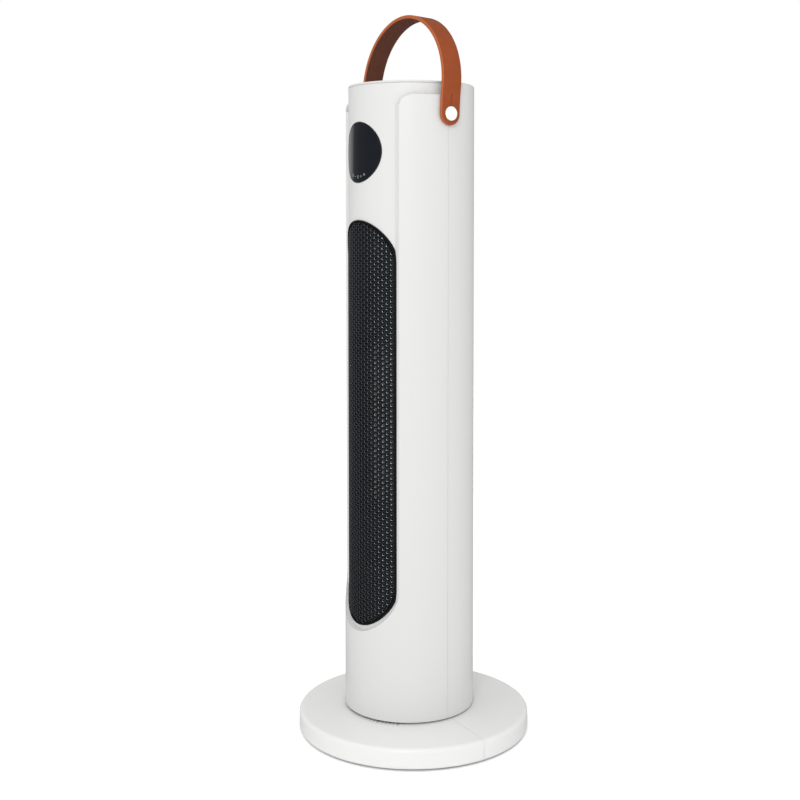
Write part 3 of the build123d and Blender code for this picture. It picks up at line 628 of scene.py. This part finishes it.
def makeGrille():
    radius = towerY - meshLow[1]
    stepX, stepZ = grille["pitchZ"] * sqrt(3) / 2, grille["pitchZ"]
    halfWidth = meshHigh[0] + grille["underRim"]
    lowZ, highZ = meshLow[2] - grille["underRim"], meshHigh[2] + grille["underRim"]
    reach = radius * asin(halfWidth / radius)
    pairs = int(reach / stepX) + 2
    rows = int((highZ - lowZ) / stepZ) + 2
    sheet = grilleCell()
    sheet.name = "grilleMesh"
    modify(sheet, "ARRAY", count=rows, use_relative_offset=False, use_constant_offset=True,
           constant_offset_displace=(0, stepZ, 0), use_merge_vertices=True, merge_threshold=0.00002)
    only(sheet)
    bpy.ops.object.duplicate()
    second = bpy.context.object
    second.location = (stepX, stepZ / 2, 0)
    settle(second)
    sheet.select_set(True)
    bpy.context.view_layer.objects.active = sheet
    bpy.ops.object.join()
    modify(sheet, "ARRAY", count=pairs, use_relative_offset=False, use_constant_offset=True,
           constant_offset_displace=(2 * stepX, 0, 0), use_merge_vertices=True, merge_threshold=0.00002)
    sheet.location = (-(pairs - 0.5) * stepX, (lowZ + highZ) / 2 - (rows - 0.5) * stepZ / 2, 0)
    settle(sheet)
    only(sheet)
    bpy.ops.object.mode_set(mode="EDIT")
    bpy.ops.mesh.select_all(action="SELECT")
    bpy.ops.mesh.remove_doubles(threshold=0.00003)
    bpy.ops.mesh.select_all(action="DESELECT")
    bpy.ops.object.mode_set(mode="OBJECT")
    # drop what lies outside the slot shape
    for face in sheet.data.polygons:
        arc, z = face.center.x, face.center.y
        x = radius * sin(max(-1.5, min(1.5, arc / radius)))
        nearZ = min(max(z, lowZ + halfWidth), highZ - halfWidth)
        face.select = sqrt(x * x + (z - nearZ) ** 2) > halfWidth
    bpy.ops.object.mode_set(mode="EDIT")
    bpy.ops.mesh.delete(type="FACE")
    bpy.ops.mesh.select_all(action="SELECT")
    bpy.ops.mesh.normals_make_consistent(inside=False)
    bpy.ops.object.mode_set(mode="OBJECT")
    # bend the flat sheet round the tower
    for v in sheet.data.vertices:
        arc, z, out = v.co
        turn = arc / radius
        v.co = ((radius + out) * sin(turn), towerY - (radius + out) * cos(turn), z)
    sheet.data.update()
    outward = sum(1 for f in sheet.data.polygons if f.normal.y < 0)
    if outward < len(sheet.data.polygons) / 2:
        only(sheet)
        bpy.ops.object.mode_set(mode="EDIT")
        bpy.ops.mesh.select_all(action="SELECT")
        bpy.ops.mesh.flip_normals()
        bpy.ops.object.mode_set(mode="OBJECT")
    modify(sheet, "SOLIDIFY", thickness=grille["sheet"], offset=-1.0)
    smooth(sheet, 75)   # wide enough to roll the light round each hole's edge
    return sheet


finishPiece(makeGrille(), "tower", "grille_black", "grille_mesh")
print("grille done")


# leather strap: half is spun and mirrored, its end is cut round, then the edges are rolled
strap = {
    "width": 0.023,
    "leanDeg": 2.0,
    "edgeRoll": 0.0011,
    "bowDeg": 6.0,
    "bowLength": 0.018,
    "arcSteps": 40,
    "hole": 0.0041,
    "slitWidth": 0.0006,
    "slitLength": 0.020,
}


def makeStrap():
    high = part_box("handle_strap")[1]
    studZ = middle("handle_stud_right", 2)
    width = strap["width"]
    top = studZ + (high[2] - studZ - width / 2 * sin(radians(strap["leanDeg"]))) / cos(radians(strap["leanDeg"]))
    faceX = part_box("handle_stud_right")[1][0] - 0.0026 - 0.00005   # under the stud's head
    thick = faceX - towerR - 0.00035
    midX = faceX - thick / 2
    bow = radians(strap["bowDeg"])
    bowR = strap["bowLength"] / sin(bow)
    archR = (midX + bowR * (1 - cos(bow))) / cos(bow)
    archZ = top - thick / 2 - archR
    bowZ = archZ - archR * sin(bow) - strap["bowLength"]
    endZ = studZ - width / 2
    deselect()
    bpy.ops.mesh.primitive_plane_add(size=1.0, location=(midX, towerY, endZ))
    piece = bpy.context.object
    piece.name = "handleStrap"
    piece.scale = (thick, width, 1)
    settle(piece)
    bpy.ops.object.mode_set(mode="EDIT")
    bpy.ops.mesh.select_all(action="SELECT")
    bpy.ops.mesh.extrude_region_move(TRANSFORM_OT_translate={"value": (0, 0, bowZ - endZ)})
    bpy.ops.mesh.spin(steps=6, angle=-bow, center=(midX + bowR, towerY, bowZ), axis=(0, 1, 0))
    bpy.ops.mesh.spin(steps=strap["arcSteps"], angle=pi / 2 + bow, center=(0, towerY, archZ), axis=(0, 1, 0))
    bpy.ops.mesh.delete(type="ONLY_FACE")
    bpy.ops.object.mode_set(mode="OBJECT")
    modify(piece, "MIRROR", use_axis=(True, False, False), use_mirror_merge=True, merge_threshold=0.0001)
    only(piece)
    bpy.ops.object.mode_set(mode="EDIT")
    bpy.ops.mesh.select_all(action="SELECT")
    bpy.ops.mesh.remove_doubles(threshold=0.00001)
    bpy.ops.mesh.normals_make_consistent(inside=False)
    bpy.ops.object.mode_set(mode="OBJECT")
    for side in (-1, 1):
        waste = addBlock((side * midX - 0.01, towerY - width, endZ - 0.01),
                         (side * midX + 0.01, towerY + width, studZ))
        cut(waste, addRod(width / 2, (side * midX, towerY, studZ), 0.06, "X", 72))
        cut(piece, waste)
    modify(piece, "BEVEL", width=strap["edgeRoll"], segments=4, limit_method="ANGLE", angle_limit=radians(40))
    for side in (-1, 1):
        cut(piece, addRod(strap["hole"], (side * midX, towerY, studZ), 0.02, "X"))
        cut(piece, addBlock((side * midX - 0.004, towerY - strap["slitWidth"] / 2, studZ),
                            (side * midX + 0.004, towerY + strap["slitWidth"] / 2, studZ + strap["slitLength"])))
    for material in (leatherOuter, leatherInner, leatherEdge):
        piece.data.materials.append(material)
    for face in piece.data.polygons:
        outwards = Vector((face.center.x, 0, max(0.0, face.center.z - archZ))).dot(face.normal) > 0
        face.material_index = 2 if abs(face.normal.y) > 0.2 or face.normal.z < -0.6 and face.center.z < studZ \
            else (0 if outwards else 1)
    only(piece)
    bpy.ops.object.mode_set(mode="EDIT")
    bpy.ops.mesh.select_all(action="SELECT")
    bpy.ops.transform.rotate(value=radians(strap["leanDeg"]), orient_axis="X",
                             center_override=(0, towerY, studZ))
    bpy.ops.object.mode_set(mode="OBJECT")
    smooth(piece, 40)
    return piece


finishPiece(makeStrap(), "handle", "leather", "handle_strap")
print("strap done")


# studs: a domed head, a neck through the strap and a flange inside the housing
stud = {
    "dome": 0.0011,
    "rings": (0.93, 0.75, 0.45, 0.2),
    "edge": 0.0009,
    "headR": 0.007,
    "headHeight": 0.0026,
    "neckR": 0.004,
    "neckStart": 0.0606,     # from the tower's axis, inside the wall
    "flangeR": 0.0075,
    "flangeX": 0.0615,
    "flangeT": 0.0018,
}


def makeStud(side, name, node):
    low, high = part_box(node)
    headR, headX = stud["headR"], max(abs(low[0]), abs(high[0]))
    height = stud["headHeight"]
    headZ = (low[2] + high[2]) / 2
    deselect()
    bpy.ops.mesh.primitive_cylinder_add(vertices=64, radius=headR, depth=height - stud["dome"],
                                        location=(0, 0, 0))
    head = bpy.context.object
    bpy.ops.object.mode_set(mode="EDIT")
    bpy.ops.mesh.select_all(action="DESELECT")
    bpy.ops.object.mode_set(mode="OBJECT")
    top = max(head.data.polygons, key=lambda f: f.center.z)
    top.select = True
    bpy.ops.object.mode_set(mode="EDIT")
    before = 1.0
    for ring in stud["rings"]:
        # each ring in rises along a shallow dome
        rise = stud["dome"] * (before**2 - ring**2)
        bpy.ops.mesh.inset(thickness=headR * (before - ring), depth=0)
        bpy.ops.transform.translate(value=(0, 0, rise))
        before = ring
    bpy.ops.object.mode_set(mode="OBJECT")
    modify(head, "BEVEL", width=stud["edge"], segments=3, limit_method="ANGLE", angle_limit=radians(50))
    head.rotation_euler = (0, side * pi / 2, 0)
    head.location = (side * (headX - height + (height - stud["dome"]) / 2), towerY, headZ)
    settle(head)
    start = stud["neckStart"]
    neckLength = headX - height - start
    neck = addRod(stud["neckR"], (side * (start + neckLength / 2), towerY, headZ), neckLength + 0.0004, "X")
    flange = addRod(stud["flangeR"], (side * stud["flangeX"], towerY, headZ), stud["flangeT"], "X")
    only(head)
    neck.select_set(True)
    flange.select_set(True)
    bpy.ops.object.join()
    head.name = name
    head.data.materials.append(whiteStud)
    smooth(head, 35)
    return finishPiece(head, "tower", "white_stud", node)


makeStud(1, "handleStudRight", "handle_stud_right")
makeStud(-1, "handleStudLeft", "handle_stud_left")
print("studs done")


# small generic marks low on the display
marks = {"ringR": 0.0245, "size": 0.0017, "line": 0.0004, "lift": 0.00004, "stepDeg": 12.0, "flatten": 0.25}
markPaint = glossBlack("markPaint", (0.20, 0.21, 0.22), 0.35)


def makeMarks():
    lensR = towerY - lensLow[1]
    parts = []

    def ring(x, z, radius, gap=0.0):
        deselect()
        bpy.ops.mesh.primitive_torus_add(major_radius=radius, minor_radius=marks["line"] / 2, major_segments=28,
                                         minor_segments=6, location=(x, 0, z), rotation=(pi / 2, 0, 0))
        parts.append(bpy.context.object)
        settle(parts[-1])

    def bar(x, z, long, turn):
        deselect()
        bpy.ops.mesh.primitive_cube_add(size=1.0, location=(x, 0, z), rotation=(0, turn, 0))
        parts.append(bpy.context.object)
        parts[-1].scale = (long, marks["line"], marks["line"])
        settle(parts[-1])

    size = marks["size"]
    for k in range(-2, 3):
        turn = radians(marks["stepDeg"] * k)
        x, z = marks["ringR"] * sin(turn), displayZ - marks["ringR"] * cos(turn)
        if k == 0:
            ring(x, z, size * 0.8)
            bar(x, z + size * 0.55, size * 0.9, pi / 2)
        elif abs(k) == 1:
            bar(x, z, size * 1.5, 0)
            if k == 1:
                bar(x, z, size * 1.5, pi / 2)
        elif k == -2:
            ring(x, z, size * 0.8)
            bar(x + size * 0.2, z, size * 0.5, 0)
            bar(x, z + size * 0.25, size * 0.6, pi / 2)
        else:
            for leaf in range(3):
                bar(x, z, size * 1.6, leaf * pi / 3)
    printed = joined(parts, "displayMarks")
    for v in printed.data.vertices:
        v.co.y = towerY - sqrt(lensR**2 - v.co.x**2) + v.co.y * marks["flatten"] - marks["lift"]
    printed.data.materials.append(markPaint)
    return printed


finishPiece(makeMarks(), "tower", "display_black")
print("display marks done")


# floor, light and camera
studio = {
    "floor": (0.99, 0.99, 0.99),
    "world": 1.0,
    "worldInGloss": 0.22,
    "cameraAzimuth": 54.4,
    "cameraDistance": 1.2888,
    "cameraHeight": 0.5164,
    "pitch": 2.79,
    "lens": 55.77,
    "shift": (-0.0168, -0.1306),
    "sensor": 36.0,
    "floorSize": 14.0,
    "floorGlow": 0.1,        # evens the floor with the world behind it
}
floorShader = Shader("floorPaper", studio["floor"], 0.85, Emission_Color=(1.0, 1.0, 1.0),
                     Emission_Strength=studio["floorGlow"])
floorShader.put("Base Color", floorShader.mix(floorShader.noise(3.0, 2.0), (0.98, 0.98, 0.98), studio["floor"]))
deselect()
bpy.ops.mesh.primitive_plane_add(size=studio["floorSize"], location=(0, 0, 0))
floor = bpy.context.object
floor.name = "studioFloor"
floor.data.materials.append(floorShader.material)
floor.visible_glossy = False

world = bpy.data.worlds.new("studioWorld")
world.use_nodes = True
sky = world.node_tree.nodes["Background"]
sky.inputs["Color"].default_value = (1, 1, 1, 1)
path = world.node_tree.nodes.new("ShaderNodeLightPath")
dim = world.node_tree.nodes.new("ShaderNodeMapRange")
dim.inputs["To Min"].default_value = studio["world"]
dim.inputs["To Max"].default_value = studio["worldInGloss"]   # a darker room in the reflections
world.node_tree.links.new(path.outputs["Is Glossy Ray"], dim.inputs["Value"])
world.node_tree.links.new(dim.outputs[0], sky.inputs["Strength"])
bpy.context.scene.view_settings.view_transform = "Standard"
bpy.context.scene.world = world


def areaLight(name, azimuth, elevation, distance, size, watts, aim=(0, 0, 0.35)):
    a, e = radians(azimuth), radians(elevation)
    light = bpy.data.lights.new(name, "AREA")
    light.size = size
    light.energy = watts
    lamp = bpy.data.objects.new(name, light)
    lamp.location = Vector(aim) + distance * Vector((sin(a) * cos(e), -cos(a) * cos(e), sin(e)))
    lamp.rotation_euler = (lamp.location - Vector(aim)).to_track_quat("Z", "Y").to_euler()
    bpy.context.scene.collection.objects.link(lamp)


areaLight("keyLight", 46, 28, 2.6, 0.6, 21)
areaLight("topLight", 20, 80, 2.2, 1.2, 4)
areaLight("edgeLight", -98, 8, 2.6, 1.6, 2.2)

back = radians(studio["cameraAzimuth"])
bpy.ops.object.camera_add(
    location=(studio["cameraDistance"] * sin(back), -studio["cameraDistance"] * cos(back), studio["cameraHeight"]),
    rotation=(radians(90 - studio["pitch"]), 0, back))
camera = bpy.context.object
camera.data.lens = studio["lens"]
camera.data.sensor_width = studio["sensor"]
camera.data.shift_x, camera.data.shift_y = studio["shift"]
bpy.context.scene.camera = camera
